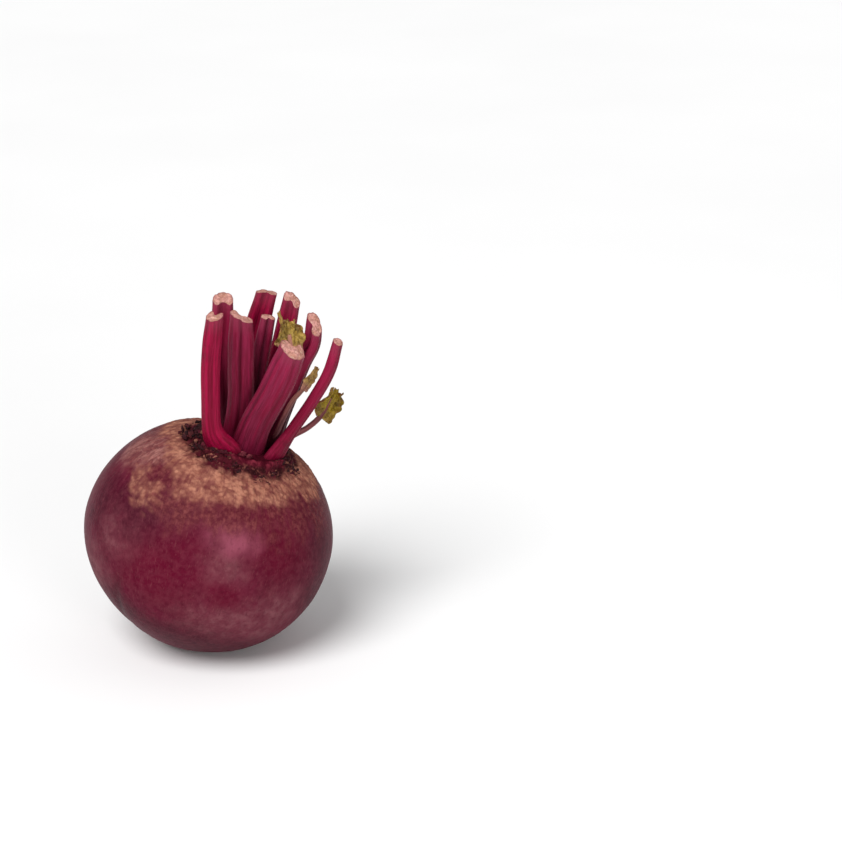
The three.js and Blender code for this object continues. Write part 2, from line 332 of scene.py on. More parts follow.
# %% Relief on the root
lumps = 0.28 * cloud(surface, 22, 5) + 0.10 * cloud(surface, 7, 6)
grain = cloud(surface, 1.9, 7, octaves=2)
cracked = 0.5 - np.abs(cloud(streak_space, 1.6, 8)) * 2
cork_relief = cork * (0.20 * grain + 0.10 * cracked + 0.16)
LEAF_RINGS = 2.3  # between the rings of old leaves
steps = np.cos((from_crown + 1.1 * cloud(surface, 6, 16)) * 2 * math.pi / LEAF_RINGS)
scar_relief = scar * (0.5 * cloud(surface, 2.0, 9, octaves=2) + 0.22 * steps)
scar_relief *= 0.35 + 0.65 * step(from_crown, 10, 15)
FURROWS = (math.radians(48), math.radians(228))
furrow = np.zeros(len(phi))
for where in FURROWS:
    off = turn_between(phi, where) * np.sin(theta) * ROOT_RADIUS
    wander = 1.2 * cloud(np.column_stack((from_crown, 0 * phi, 0 * phi)), 14, 10)
    furrow += bell(off + wander, 1.6) * step(theta, 1.5, 2.1)
tail_relief = tail_cut * 0.3 * cloud(surface, 1.6, 11)
rim_relief = rim * (1.0 + 0.6 * cloud(surface, 3.0, 19))
height = lumps + cork_relief + scar_relief - 0.28 * furrow + tail_relief + rim_relief

places = on_root(theta, phi, height)
FLAT_SOFTNESS = 0.3
places[:, 2] = 0.5 * (places[:, 2] + np.sqrt(places[:, 2] ** 2 + FLAT_SOFTNESS ** 2))
move_points(root, places)
smooth(root)
for name, values in (("cork", cork), ("russet", russet), ("scar", scar), ("neck", neck),
                     ("tail_cut", tail_cut), ("furrow", furrow), ("streak", streak_space),
                     ("plum_and_shade", patches["plum_and_shade"]), ("grey", patches["grey"]),
                     ("clean", patches["clean"]), ("bloom_and_highlight", patches["bloom_and_highlight"]),
                     ("dust_and_shine", patches["dust_and_shine"]), ("front_rim", rim)):
    note(root, name, values)
print("root", count(root), "triangles, lowest", round(places[:, 2].min(), 3), "mm")

# %% [markdown]
# ## The leaf stalks
#
# A beet stalk is a half round rod with lengthwise strings, a shallow channel on its inner face and a
# wide foot that clasps the neck. All are modelled once as a straight rod: a filled circle, pulled up
# ring by ring with extrude, with the cut face stepped inwards by inset. Each stalk is then a copy
# that a rule lays along its own line. A Curve modifier could bend it too, but it would not widen the
# foot or turn the channel to the middle of the bunch.

# %% One straight rod
ROD_SIDES = 64
ROD_RINGS = 50
bpy.ops.object.select_all(action="DESELECT")
bpy.ops.mesh.primitive_circle_add(vertices=ROD_SIDES, radius=MM, fill_type="NGON")
rod = bpy.context.object
rod.name = "straight_rod"
bpy.ops.object.mode_set(mode="EDIT")
bpy.ops.mesh.select_all(action="SELECT")
for _ in range(ROD_RINGS):
    bpy.ops.mesh.extrude_region_move(TRANSFORM_OT_translate={"value": (0, 0, MM / ROD_RINGS)})
for narrower in (0.03, 0.04, 0.08, 0.1, 0.12, 0.14, 0.16, 0.16):
    bpy.ops.mesh.inset(thickness=narrower * MM)
bpy.ops.mesh.poke()
bpy.ops.mesh.select_all(action="SELECT")
bpy.ops.mesh.normals_make_consistent(inside=False)
bpy.ops.object.mode_set(mode="OBJECT")
rod_points = points_of(rod)
print("rod", len(rod_points), "points", count(rod), "triangles")


# %% The line of a stalk
def line_of(points, samples=160):
    """A smooth line through the points, as even steps along its length: places and directions."""
    p = np.array(points, float)
    p = np.vstack((2 * p[0] - p[1], p, 2 * p[-1] - p[-2]))
    out = []
    for a, b, c, d in zip(p[:-3], p[1:-2], p[2:-1], p[3:]):
        gaps = [max(np.linalg.norm(v) ** 0.5, 1e-4) for v in (b - a, c - b, d - c)]
        t0 = ((b - a) / gaps[0] - (c - a) / (gaps[0] + gaps[1]) + (c - b) / gaps[1]) * gaps[1]
        t1 = ((c - b) / gaps[1] - (d - b) / (gaps[1] + gaps[2]) + (d - c) / gaps[2]) * gaps[1]
        t = np.linspace(0, 1, samples)[:, None]
        bend = (3 * (c - b) - 2 * t0 - t1) * t ** 2 + (2 * (b - c) + t0 + t1) * t ** 3
        out.append(b + t0 * t + bend)
    dense = np.vstack(out)
    run = np.concatenate(([0], np.cumsum(np.linalg.norm(np.diff(dense, axis=0), axis=1))))
    even = np.linspace(0, run[-1], samples)
    middle = np.column_stack([np.interp(even, run, dense[:, k]) for k in range(3)])
    along = np.gradient(middle, axis=0)
    return middle, along / np.linalg.norm(along, axis=1)[:, None], run[-1]


def frames_on(line, faces, share):
    """Middle, direction, inward and sideways at shares of the line. faces is where the channel looks."""
    middle, along, length = line
    at = np.clip(share, 0, 1) * (len(middle) - 1)
    low = np.minimum(at.astype(int), len(middle) - 2)
    part = (at - low)[:, None]
    here = middle[low] * (1 - part) + middle[low + 1] * part
    way = along[low] * (1 - part) + along[low + 1] * part
    way /= np.linalg.norm(way, axis=1)[:, None]
    facing = np.array((math.cos(math.radians(faces)), math.sin(math.radians(faces)), 0.0))
    inward = facing - way * (way @ facing)[:, None]
    inward /= np.linalg.norm(inward, axis=1)[:, None]
    return here, way, inward, np.cross(way, inward)


# %% Each stalk's own sizes
# width, thickness, clasp of the foot, where the channel faces, slope of the cut across and through,
# how dull its skin is from 0 to 1, its furrows as (degrees round it, depth, half width in degrees),
# and the line from the neck to the cut
STALKS = {
    "stalk_front_left": (6.1, 5.6, 0.8, 62, (0, 0.6), 0.1, ((-118, 0.22, 8), (-62, 0.18, 7)),
        ((5.6, -11, 69), (1.6, -14, 77), (1.1, -15, 88), (1.6, -14, 101.5), (3.1, -12.5, 114.5))),
    "stalk_right": (4.1, 3.7, 0.8, 130, (-0.2, 0.6), 0.45, ((-100, 0.25, 12),),
        ((19.5, -7.5, 64), (26.5, -8, 74.5), (33, -8, 84), (38.5, -7.5, 93.5), (41.5, -6.5, 103))),
    "stalk_back_left": (7.4, 5.6, 0.3, -84, (0, -0.8), 0.5, ((-60, 0.3, 9), (-125, 0.3, 9)),
        ((5.5, 0.5, 70), (6, 3.5, 81.5), (5.5, 6.5, 97), (6, 7.5, 113.6))),
    "stalk_back": (7.6, 5.8, 0.4, -95, (0.15, -0.15), 0.0, ((-90, 0.35, 9), (-140, 0.3, 8)),
        ((10, 4, 68.5), (12, 7.5, 83), (15.5, 10.5, 99), (20, 11.5, 114.5))),
    "stalk_back_right": (6.6, 5.8, 0.5, -104, (-0.4, -0.62), 0.2, ((-75, 0.3, 9), (-120, 0.3, 8)),
        ((15, 4, 66.5), (20, 8.5, 82.5), (24.5, 11.5, 97), (28, 12.5, 111.5))),
    "stalk_far_right": (6.8, 6, 0.3, -150, (-1.05, -0.15), 0.65, ((-85, 0.3, 9), (-30, 0.3, 9)),
        ((18.5, 0, 64.5), (25, 2.5, 80.5), (30.5, 5, 93), (33.7, 6, 99), (34.7, 6.5, 105))),
    "stalk_front": (10, 7.4, 0.1, 100, (0.16, 0.53), 0.9,
        ((-112, 0.16, 6), (-62, 0.12, 6), (-30, 0.30, 7)),
        ((11.5, -6.5, 67), (15, -9.5, 77.5), (21.5, -12.5, 90.5), (27, -14, 103.5))),
    "stalk_left": (8.2, 6, 0.1, 82, (0.42, 0.2), 0.75, ((-91, 0.55, 9), (-45, 0.2, 7), (-125, 0.15, 6)),
        ((8.5, -2, 68.5), (10.5, -3.5, 83.5), (11, -4.5, 97.5), (11.5, -4.5, 111.5))),
    "stalk_inner": (5.4, 4, 0.3, -70, (0, -0.3), 0.9, ((90, 0.3, 10),),
        ((13.3, -1, 67), (15.1, 1.5, 83.5), (17.6, 2, 97.5), (20, 2, 109))),
}
CHANNEL = 0.34
CHANNEL_WIDE = 0.5
CHANNEL_FROM = (3.5, 6)  # a stalk of the first width has no channel, one of the second all of it
CLASP_REACH = 0.3
DRAWN_IN = 0.12  # share by which the cut end has dried and shrunk
AT_CUT = 0.9999  # beyond this share of a stalk's length its points belong to the cut
# painted shade: how much darker a stalk inside the bunch is made from its foot up, by its number in the
# list above
INNER_SHADE = {2: 0.2, 3: 1, 4: 0.7, 5: 0.8, 6: 0.9, 7: 0.25, 9: 0.9}


# %% The rule that lays a rod along its line
def lay_rod(obj, spec, number):
    wide, thick, clasp, faces, slope, dull, furrows, points = spec
    line = line_of(points)
    share = rod_points[:, 2]
    radius = np.hypot(rod_points[:, 0], rod_points[:, 1])
    angle = np.arctan2(rod_points[:, 1], rod_points[:, 0])
    here, way, inward, across = frames_on(line, faces, share)
    end = 1 - DRAWN_IN * step(share, 0.8, 1)
    foot = (1 + clasp * (1 - step(share, 0, CLASP_REACH))) * end
    inner = np.clip(np.sin(angle), 0, None)
    length = np.column_stack((share * line[2], 0 * share, 0 * share + number * 7.0))
    sway = angle + 0.10 * cloud(length, 11, 30 + number)
    strings = 0.5 * np.cos(9 * sway + number) + 0.5 * np.cos(14 * sway + 2.3 * number)
    strings *= 1 - 0.75 * inner
    swell = 0.025 * cloud(length, 8, number)
    rib = 1 + 0.028 * strings + swell
    sunk = bell(np.cos(angle), CHANNEL_WIDE) * step(share, 0.05, 0.3)
    groove = CHANNEL * thick * inner * sunk * step(wide, *CHANNEL_FROM)
    carved = np.zeros(len(share))
    for at, deep, spread in furrows:
        carved += deep * bell(turn_between(sway, math.radians(at)), math.radians(spread))
    carved *= step(share, 0.02, 0.2)
    sideways = radius * np.cos(angle) * (rib * wide / 2 * foot - carved)
    inwards = radius * (np.sin(angle) * (rib * thick / 2 * end - carved) - groove)
    flesh = (share > AT_CUT) & (radius < 0.95)
    spot = np.column_stack((sideways, inwards, 0 * share + number * 9.0))
    rough = flesh * (0.16 * cloud(spot, 1.2, 12, octaves=2) + 0.15 - 0.3 * radius ** 4)
    torn = step(share, 0.965, 1) * (0.35 * cloud(spot, 1.6, 13) + 0.4 * cloud(spot, 3.4, 17)) * wide / 8
    cut = (slope[0] * sideways + slope[1] * inwards) * share ** 8 + torn + rough
    move_points(obj, here + across * sideways[:, None] + inward * inwards[:, None] + way * cut[:, None])
    note(obj, "strand", np.column_stack((sideways, inwards, share * line[2] * 0.05)) + number * 3.7)
    note(obj, "ridge", np.clip(0.5 + 0.5 * strings - 1.6 * carved, 0, 1))
    # painted shade: darkens the furrows and the channel
    note(obj, "sunken_shade", np.clip(carved * 1.5 + groove * 0.15, 0, 1))
    note(obj, "up", share)
    note(obj, "dull", np.full(len(share), dull))
    # painted shade inside the bunch, strongest at the foot
    note(obj, "deep", INNER_SHADE.get(number, 0) * (1 - step(share, 0.15, 0.85)))
    note(obj, "rim", step(radius, 0.88, 0.98))
    return line[2]


# %% Copies along the nine lines
stalks = {}
for number, (name, spec) in enumerate(STALKS.items(), 1):
    stalks[name] = copy_of(rod, "leaf_" + name)
    length = lay_rod(stalks[name], spec, number)
    print(name, round(length, 1), "mm long")

# %% [markdown]
# ## The young leaves
#
# Three small leaves were cut off with the stalks: a crinkled one in the heart, a folded sliver beside
# the front stalk and a small one low on the right. A stem is another copy of the rod. The blade is a
# grid that a rule widens, waves and cups, and Solidify gives it its thickness.

# %% Sizes of the young leaves
# stem width at the foot and at the blade, blade width, share of the line where it starts,
# where it looks, how far it is turned over, height of its left lobe, how pale it is from 0 to 1
# (its own colour and painted light: lower for a leaf in shade), and the line to its tip
YOUNG_LEAVES = {
    "young_leaf_heart": ((3, 4.6), 10, 0.74, -80, 20, 3.4, 0.45,
        ((15.5, -2, 65.5), (19, -1, 79), (24.5, -0.5, 93), (26.5, 0, 100), (25.2, 0.5, 108))),
    "young_leaf_right": ((2.2, 1.6), 3, 0.74, -60, -15, 0, 1,
        ((19, -2, 64.5), (23.5, -2, 75.5), (27, -1.5, 82), (31, -1.5, 86.5), (35, -1, 93))),
    "young_leaf_low": ((2.2, 1.8), 9, 0.66, -75, 10, 0, 0,
        ((19.5, 1, 64.5), (27, 1, 69.5), (32, 1.5, 72), (36.5, 2, 76), (41, 3, 84))),
}
BLADE_THICK = 0.5
BLADE_CELLS = 52


# %% The rules for a stem and a blade
def lay_stem(obj, stem, faces, pale_and_lit, line, number):
    share = rod_points[:, 2]
    here, way, inward, across = frames_on(line, faces, share * 0.9)
    half = (stem[0] + (stem[1] - stem[0]) * share) / 2 * (1 - 0.6 * step(share, 0.7, 1.0))
    sideways = rod_points[:, 0] * half
    inwards = rod_points[:, 1] * half * 0.7
    move_points(obj, here + across * sideways[:, None] + inward * inwards[:, None])
    note(obj, "strand", np.column_stack((sideways, inwards, share * line[2] * 0.06)) + number * 5.1)
    note(obj, "up", share)
    note(obj, "pale_and_lit", np.full(len(share), pale_and_lit))


def lay_blade(obj, blade, start, faces, turn, lobe, pale_and_lit, line):
    grid = points_of(obj)
    side = grid[:, 0]
    up = grid[:, 1] / 2 + 0.5
    full = min(1, blade / 10)
    here, way, inward, across = frames_on(line, faces + turn, start + (1 - start) * up)
    widens = 0.5 + 0.5 * np.sin(math.pi * np.minimum(1, 0.1 + up))
    lobes = 0.09 * np.sin(9 * up + 2 * side) + 0.05 * np.sin(27 * up + side)
    broad = 0.9 * np.sin(2.6 * side + 5 * up)
    narrow = 0.5 * np.sin(5.5 * side - 8 * up)
    vein_run = 9 * up + 3.2 * np.abs(side)
    pucker = 0.45 * np.abs(np.sin(vein_run)) * step(np.abs(side), 0.05, 0.3)
    pucker += 0.35 * np.sin(17 * side + 3 * up) * np.sin(15 * up - 2 * side)
    frill = 0.5 * side ** 4 * np.sin(23 * up + 5 * side)
    midrib = 0.4 * bell(side, 0.09)
    waves = full * ((broad + narrow) * np.abs(side) + 1.4 * side ** 2 + pucker + frill - midrib)
    teeth = full * (0.6 * np.sin(7 * side) * up + 0.35 * np.sin(21 * side + 1) * up ** 3)
    raised = lobe * step(-side, 0.2, 0.6) * up
    places = here + across * (side * blade / 2 * (widens + lobes))[:, None]
    places += inward * waves[:, None] + way * (teeth + raised)[:, None]
    move_points(obj, places)
    note(obj, "vein", np.maximum(bell(side, 0.09), 0.8 * bell(np.sin(vein_run), 0.22)))
    note(obj, "edge", np.maximum(step(np.abs(side), 0.75, 1.0), step(up, 0.88, 1)))
    note(obj, "up", up)
    note(obj, "pale_and_lit", np.full(len(up), pale_and_lit))


# %% Stems and blades
young = {}
for number, (name, spec) in enumerate(YOUNG_LEAVES.items(), 1):
    stem, blade, start, faces, turn, lobe, pale_and_lit, points = spec
    line = line_of(points)
    stem_piece = copy_of(rod, name + "_stem")
    lay_stem(stem_piece, stem, faces, pale_and_lit, line, number)
    bpy.ops.object.select_all(action="DESELECT")
    bpy.ops.mesh.primitive_grid_add(x_subdivisions=BLADE_CELLS, y_subdivisions=BLADE_CELLS, size=2 * MM)
    leaf = bpy.context.object
    leaf.name = name + "_blade"
    lay_blade(leaf, blade, start, faces, turn, lobe, pale_and_lit, line)
    thickness = leaf.modifiers.new("Thickness", "SOLIDIFY")
    thickness.thickness = BLADE_THICK * MM
    thickness.offset = 0
    only(leaf)
    bpy.ops.object.modifier_apply(modifier="Thickness")
    smooth(leaf, 60)
    young[name] = (stem_piece, leaf)
    print(name, count(leaf), "triangles in its blade")

# %% [markdown]
# ## Scraps round the neck
#
# Older leaves were pulled off and left dark dry scraps in rings round the neck. Three scraps are
# modelled once: a crumb, a curled flake and a torn stub. They are copied by a rule with a fixed seed,
# most of them lying along the rings, and joined into one piece.

# %% Model the three scraps
def scrap(name, size, ragged, seed):
    bpy.ops.object.select_all(action="DESELECT")
    bpy.ops.mesh.primitive_uv_sphere_add(segments=8, ring_count=5, radius=0.5 * MM)
    obj = bpy.context.object
    obj.name = name
    points = points_of(obj)
    points *= 1 + ragged * cloud(points, 0.4, seed)[:, None]
    points *= np.array(size)
    points[:, 2] += 0.5 * size[2] * np.cos(points[:, 0] / size[0] * 3)
    move_points(obj, points)
    return obj


scraps_made = (
    scrap("crumb", (1.3, 1.0, 0.9), 0.8, 21),
    scrap("flake", (3.2, 1.2, 0.6), 0.9, 22),
    scrap("stub", (1.9, 1.0, 1.5), 0.8, 23),
)

# %% Lay them round the neck
SCRAPS = 1500
SCRAP_BAND = (14.0, 21.0)  # along the surface from the crown's middle
LEFT = math.radians(176)  # where the last leaves came off and the scraps stand highest
FRONT = math.radians(-60)  # where the fleshy rim leaves little room for scraps
draw = random.Random(7)
copies = []
for i in range(SCRAPS):
    at = math.radians(360 * draw.random())
    away = SCRAP_BAND[0] + (SCRAP_BAND[1] - SCRAP_BAND[0]) * draw.random() ** 1.5
    away = round(away / LEAF_RINGS) * LEAF_RINGS + draw.gauss(0, 0.6)
    left = math.exp(-((math.remainder(at - LEFT, 2 * math.pi) / 0.5) ** 2))
    away += left * draw.uniform(0, 3.0)
    source = draw.choices(scraps_made, (0.55, 0.30, 0.15 + 0.3 * left))[0]
    scale = (0.34 + 0.55 * draw.random() ** 1.7) * (1 + 0.6 * left)
    lie = at + math.pi / 2 + draw.gauss(0, 0.35)
    lift = 0.05 + left * draw.uniform(0.1, 0.9)
    centre = on_root(np.array([away / ROOT_RADIUS]), np.array([at]), lift)[0]
    in_front = math.exp(-((math.remainder(at - FRONT, 2 * math.pi) / 0.7) ** 2))
    cluster = noise.noise(Vector(centre) / 3.6 + Vector((3.1, 0, 7.7)))
    if cluster < 0.02 + 0.14 * in_front - 0.3 * left:
        continue
    scale *= 1 - 0.25 * in_front
    tip = Matrix.Rotation(away / ROOT_RADIUS, 4, Vector((-math.sin(at), math.cos(at), 0)))
    turn = root_turn.to_matrix().to_4x4() @ tip @ Matrix.Rotation(lie, 4, "Z")
    turn = turn @ Matrix.Rotation(draw.uniform(-0.6, 0.6) * (1 + left), 4, "X")
    turn = turn @ Matrix.Rotation(draw.uniform(-0.4, 0.4) * (1 + left), 4, "Y")
    piece = copy_of(source, "scrap")
    piece.data.transform(Matrix.Translation(Vector(centre) * MM) @ turn @ Matrix.Scale(scale, 4))
    note(piece, "shade", np.full(len(piece.data.vertices), draw.random()))
    copies.append(piece)
scraps = join(copies, "crown_scraps")
smooth(scraps, 45)
print("scraps", count(scraps), "triangles")

# %% [markdown]
# Between the stalks stand a few pale scales, the dried bases of leaves that never grew out. Each is a
# flake again, stood on end.

# %% Bud scales
BUD_SCALES = (  # degrees round the crown, along the surface from its middle, height, width
    (-100, 10.6, 2.4, 2.6), (-84, 10.2, 1.8, 2.0), (-118, 11.2, 1.6, 1.8),
    (-20, 10.8, 5.4, 1.7), (4, 11.6, 3.2, 1.8), (60, 12.4, 3.2, 2.4), (150, 12.6, 3.0, 2.6),
    (-160, 12.4, 2.6, 2.0), (105, 12.8, 2.8, 2.2),
)
scales = []
for i, (round_it, away, high, wide) in enumerate(BUD_SCALES):
    at = math.radians(round_it)
    centre = on_root(np.array([away / ROOT_RADIUS]), np.array([at]), high * 0.35)[0]
    piece = copy_of(scraps_made[1], "bud_scale")
    points = points_of(piece)
    points = points[:, [1, 2, 0]] * np.array((wide / 1.2, 0.9, high / 3.2))
    points[:, 1] += 0.10 * points[:, 0] ** 2
    tip = Matrix.Rotation(away / ROOT_RADIUS * 0.6, 3, Vector((-math.sin(at), math.cos(at), 0)))
    turn = np.array(root_turn.to_matrix() @ tip @ Matrix.Rotation(at + math.pi / 2, 3, "Z"))
    move_points(piece, points @ turn.T + centre)
    note(piece, "shade", np.full(len(points), 0.5 + 0.05 * i))
    scales.append(piece)
bud_scales = join(scales, "bud_scales")
smooth(bud_scales, 50)
for used in (*scraps_made, rod):
    bpy.data.objects.remove(used)

# %% [markdown]
# ## Materials
#
# Colours are written as screen values, so a small helper turns them into the linear numbers that
# the shader wants. One effect serves every material and is a node group: soft blotches with a
# threshold.

# %% Colour and node helpers
def rgb(red, green, blue):
    def linear(v):
        return ((v / 255 + 0.055) / 1.055) ** 2.4 if v > 10 else v / 255 / 12.92
    return (linear(red), linear(green), linear(blue), 1.0)


def place(tree, kind, **values):
    """Adds a node and sets its properties and its sockets by name."""
    node = tree.nodes.new(kind)
    for name, value in values.items():
        if hasattr(node, name):
            setattr(node, name, value)
        else:
            node.inputs[name.replace("_", " ")].default_value = value
    return node


def feed(tree, source, target):
    if isinstance(source, (int, float, tuple)):
        target.default_value = source
    else:
        tree.links.new(source, target)


def mix(tree, mask, below, above):
    """Colour above laid over colour below where the mask is 1. Each may be a colour or a socket."""
    node = tree.nodes.new("ShaderNodeMix")
    node.data_type = "RGBA"
    sockets = (node.inputs["Factor"], node.inputs[6], node.inputs[7])  # 6 and 7 are the two colours
    for value, socket in zip((mask, below, above), sockets):
        feed(tree, value, socket)
    return node.outputs[2]


def maths(tree, operation, first, second, clamp=False):
    node = tree.nodes.new("ShaderNodeMath")
    node.operation = operation
    node.use_clamp = clamp
    feed(tree, first, node.inputs[0])
    feed(tree, second, node.inputs[1])
    return node.outputs[0]


def both(tree, first, second):
    return maths(tree, "MULTIPLY", first, second, clamp=True)


def ease(tree, value, start, stop):
    """0 at start, 1 at stop and an even ease between them, also where stop is the lower one."""
    node = place(tree, "ShaderNodeMapRange", interpolation_type="SMOOTHSTEP")
    node.inputs["From Min"].default_value = start
    node.inputs["From Max"].default_value = stop
    feed(tree, value, node.inputs["Value"])
    return node.outputs["Result"]


def new_group(name, numbers, results):
    """A node group that takes a vector and some numbers, with the nodes for its ways in and out."""
    group = bpy.data.node_groups.new(name, "ShaderNodeTree")
    group.interface.new_socket("Vector", in_out="INPUT", socket_type="NodeSocketVector")
    for label, value in numbers:
        socket = group.interface.new_socket(label, in_out="INPUT", socket_type="NodeSocketFloat")
        socket.default_value = value
    for label in results:
        group.interface.new_socket(label, in_out="OUTPUT", socket_type="NodeSocketFloat")
    return group, group.nodes.new("NodeGroupInput"), group.nodes.new("NodeGroupOutput")


# %% Node group: blotches
blotch_group, inside, outside = new_group(
    "blotches", (("Scale", 100), ("Detail", 3), ("From", 0.4), ("To", 0.6)), ("Mask",))
texture = place(blotch_group, "ShaderNodeTexNoise", Roughness=0.6)
ramp = place(blotch_group, "ShaderNodeMapRange", interpolation_type="SMOOTHSTEP")
for source, target in (("Vector", texture.inputs["Vector"]), ("Scale", texture.inputs["Scale"]),
                       ("Detail", texture.inputs["Detail"]), ("From", ramp.inputs["From Min"]),
                       ("To", ramp.inputs["From Max"])):
    feed(blotch_group, inside.outputs[source], target)
feed(blotch_group, texture.outputs["Fac"], ramp.inputs["Value"])
feed(blotch_group, ramp.outputs["Result"], outside.inputs["Mask"])


def blotches(tree, vector, scale, start, stop, detail=3.0):
    node = tree.nodes.new("ShaderNodeGroup")
    node.node_tree = blotch_group
    feed(tree, vector, node.inputs["Vector"])
    for label, value in (("Scale", scale), ("Detail", detail), ("From", start), ("To", stop)):
        node.inputs[label].default_value = value
    return node.outputs["Mask"]


# %% Node group: scales of cork
cork_group, inside, outside = new_group("cork_scales", (("Scale", 700),), ("Lump", "Tone"))
warp = place(cork_group, "ShaderNodeTexNoise", Scale=420, Detail=2)
warped = place(cork_group, "ShaderNodeVectorMath", operation="MULTIPLY_ADD")
warped.inputs[1].default_value = (0.0012, 0.0012, 0.0012)
cells = place(cork_group, "ShaderNodeTexVoronoi", feature="SMOOTH_F1", Smoothness=0.35)
split = cork_group.nodes.new("ShaderNodeSeparateColor")
feed(cork_group, inside.outputs["Vector"], warp.inputs["Vector"])
feed(cork_group, warp.outputs["Color"], warped.inputs[0])
feed(cork_group, inside.outputs["Vector"], warped.inputs[2])
feed(cork_group, warped.outputs[0], cells.inputs["Vector"])
feed(cork_group, inside.outputs["Scale"], cells.inputs["Scale"])
lump = ease(cork_group, cells.outputs["Distance"], 0.62, 0.18)
feed(cork_group, cells.outputs["Color"], split.inputs["Color"])
feed(cork_group, lump, outside.inputs["Lump"])
feed(cork_group, split.outputs[0], outside.inputs["Tone"])


def cork_scales(tree, vector, scale):
    node = tree.nodes.new("ShaderNodeGroup")
    node.node_tree = cork_group
    feed(tree, vector, node.inputs["Vector"])
    node.inputs["Scale"].default_value = scale
    return node.outputs["Lump"], node.outputs["Tone"]


# %% A new material with its shader
def new_material(name, roughness, specular):
    material = bpy.data.materials.new(name)
    material.use_nodes = True
    tree = material.node_tree
    shader = tree.nodes["Principled BSDF"]
    shader.inputs["Roughness"].default_value = roughness
    shader.inputs["Specular IOR Level"].default_value = specular
    spot = tree.nodes.new("ShaderNodeTexCoord").outputs["Object"]
    return material, tree, shader, spot


def read(tree, name, kind="Fac"):
    node = tree.nodes.new("ShaderNodeAttribute")
    node.attribute_name = name
    return node.outputs[kind]


def bumps(tree, shader, height, distance, strength=1.0):
    node = tree.nodes.new("ShaderNodeBump")
    node.inputs["Distance"].default_value = distance * MM
    node.inputs["Strength"].default_value = strength
    feed(tree, height, node.inputs["Height"])
    feed(tree, node.outputs["Normal"], shader.inputs["Normal"])


# %% [markdown]
# ### The skin of the root
#
# The skin is a deep maroon with the patches from above, fine tan hairlines and a faint mottle. The
# cork lies over it: russet and finely cracked at its outer edge, tan and scaly nearer the neck, and
# dark brown among the leaf scars.

# %% Root skin: the clean skin and its patches
skin, tree, shader, spot = new_material("root_skin", 0.5, specular=0.035)
streak = read(tree, "streak", "Vector")
mottle = blotches(tree, spot, 520, 0.32, 0.68, 5)
colour = mix(tree, blotches(tree, spot, 45, 0.38, 0.66, 4), rgb(78, 16, 35), rgb(88, 13, 39))
colour = mix(tree, both(tree, read(tree, "grey"), 0.66), colour, rgb(102, 50, 60))
speckle = both(tree, read(tree, "grey"), blotches(tree, spot, 240, 0.38, 0.70, 8))
colour = mix(tree, both(tree, speckle, 0.55), colour, rgb(132, 84, 89))
colour = mix(tree, both(tree, read(tree, "clean"), 0.85), colour, rgb(84, 4, 31))
# plum: darker skin, and painted shade on the right side
colour = mix(tree, both(tree, read(tree, "plum_and_shade"), 0.85), colour, rgb(60, 14, 29))
# bloom: pale bloom with a painted highlight in front
colour = mix(tree, both(tree, read(tree, "bloom_and_highlight"), 0.8), colour, rgb(142, 70, 88))
# dust: pale flecks, and a painted shine at the upper left
dust_and_shine_flecks = maths(tree, "ADD", blotches(tree, spot, 300, 0.42, 0.60, 5), 0.4, True)
dust_and_shine_mask = both(tree, read(tree, "dust_and_shine"), dust_and_shine_flecks)
colour = mix(tree, both(tree, dust_and_shine_mask, 0.95), colour, rgb(186, 132, 122))
colour = mix(tree, both(tree, blotches(tree, spot, 110, 0.50, 0.72, 5), 0.35), colour, rgb(66, 10, 26))
colour = mix(tree, both(tree, mottle, 0.24), colour, rgb(120, 56, 68))
colour = mix(tree, both(tree, blotches(tree, spot, 900, 0.52, 0.70, 4), 0.25), colour, rgb(60, 10, 24))
hairlines = blotches(tree, streak, 2.4, 0.56, 0.68, 6)
colour = mix(tree, both(tree, hairlines, 0.18), colour, rgb(132, 76, 78))
dark_lines = blotches(tree, streak, 1.7, 0.58, 0.72, 5)
colour = mix(tree, both(tree, dark_lines, 0.25), colour, rgb(50, 6, 20))

# %% Root skin: russet and cork
lump, tone = cork_scales(tree, spot, 560)
cork_streaks = blotches(tree, streak, 0.75, 0.36, 0.62, 5)
fine_streaks = blotches(tree, streak, 2.0, 0.40, 0.62, 4)
russet_mask = both(tree, read(tree, "russet"), maths(tree, "ADD", cork_streaks, 0.4, True))
grains = blotches(tree, spot, 650, 0.36, 0.66, 6)
net_lines = both(tree, grains, maths(tree, "ADD", fine_streaks, 0.5, True))
net = mix(tree, net_lines, rgb(80, 26, 34), rgb(122, 62, 60))
colour = mix(tree, both(tree, russet_mask, 0.72), colour, net)
cork_patch = both(tree, read(tree, "cork"), maths(tree, "ADD", cork_streaks, 0.62, True))
cork_gaps = maths(tree, "ADD", blotches(tree, spot, 300, 0.36, 0.48, 6), 0.6, True)
cork_patch = both(tree, cork_patch, cork_gaps)
tan = mix(tree, blotches(tree, spot, 200, 0.40, 0.60, 3), rgb(144, 88, 72), rgb(166, 110, 90))
tan = mix(tree, both(tree, tone, 0.45), tan, rgb(182, 126, 104))
tan = mix(tree, both(tree, grains, 0.22), tan, rgb(188, 134, 112))
cracks = both(tree, maths(tree, "SUBTRACT", 1.0, lump), blotches(tree, spot, 260, 0.34, 0.54, 3))
tan = mix(tree, both(tree, cracks, 0.62), tan, rgb(98, 44, 44))
tan = mix(tree, both(tree, blotches(tree, spot, 340, 0.55, 0.65, 4), 0.45), tan, rgb(94, 40, 42))
colour = mix(tree, cork_patch, colour, tan)

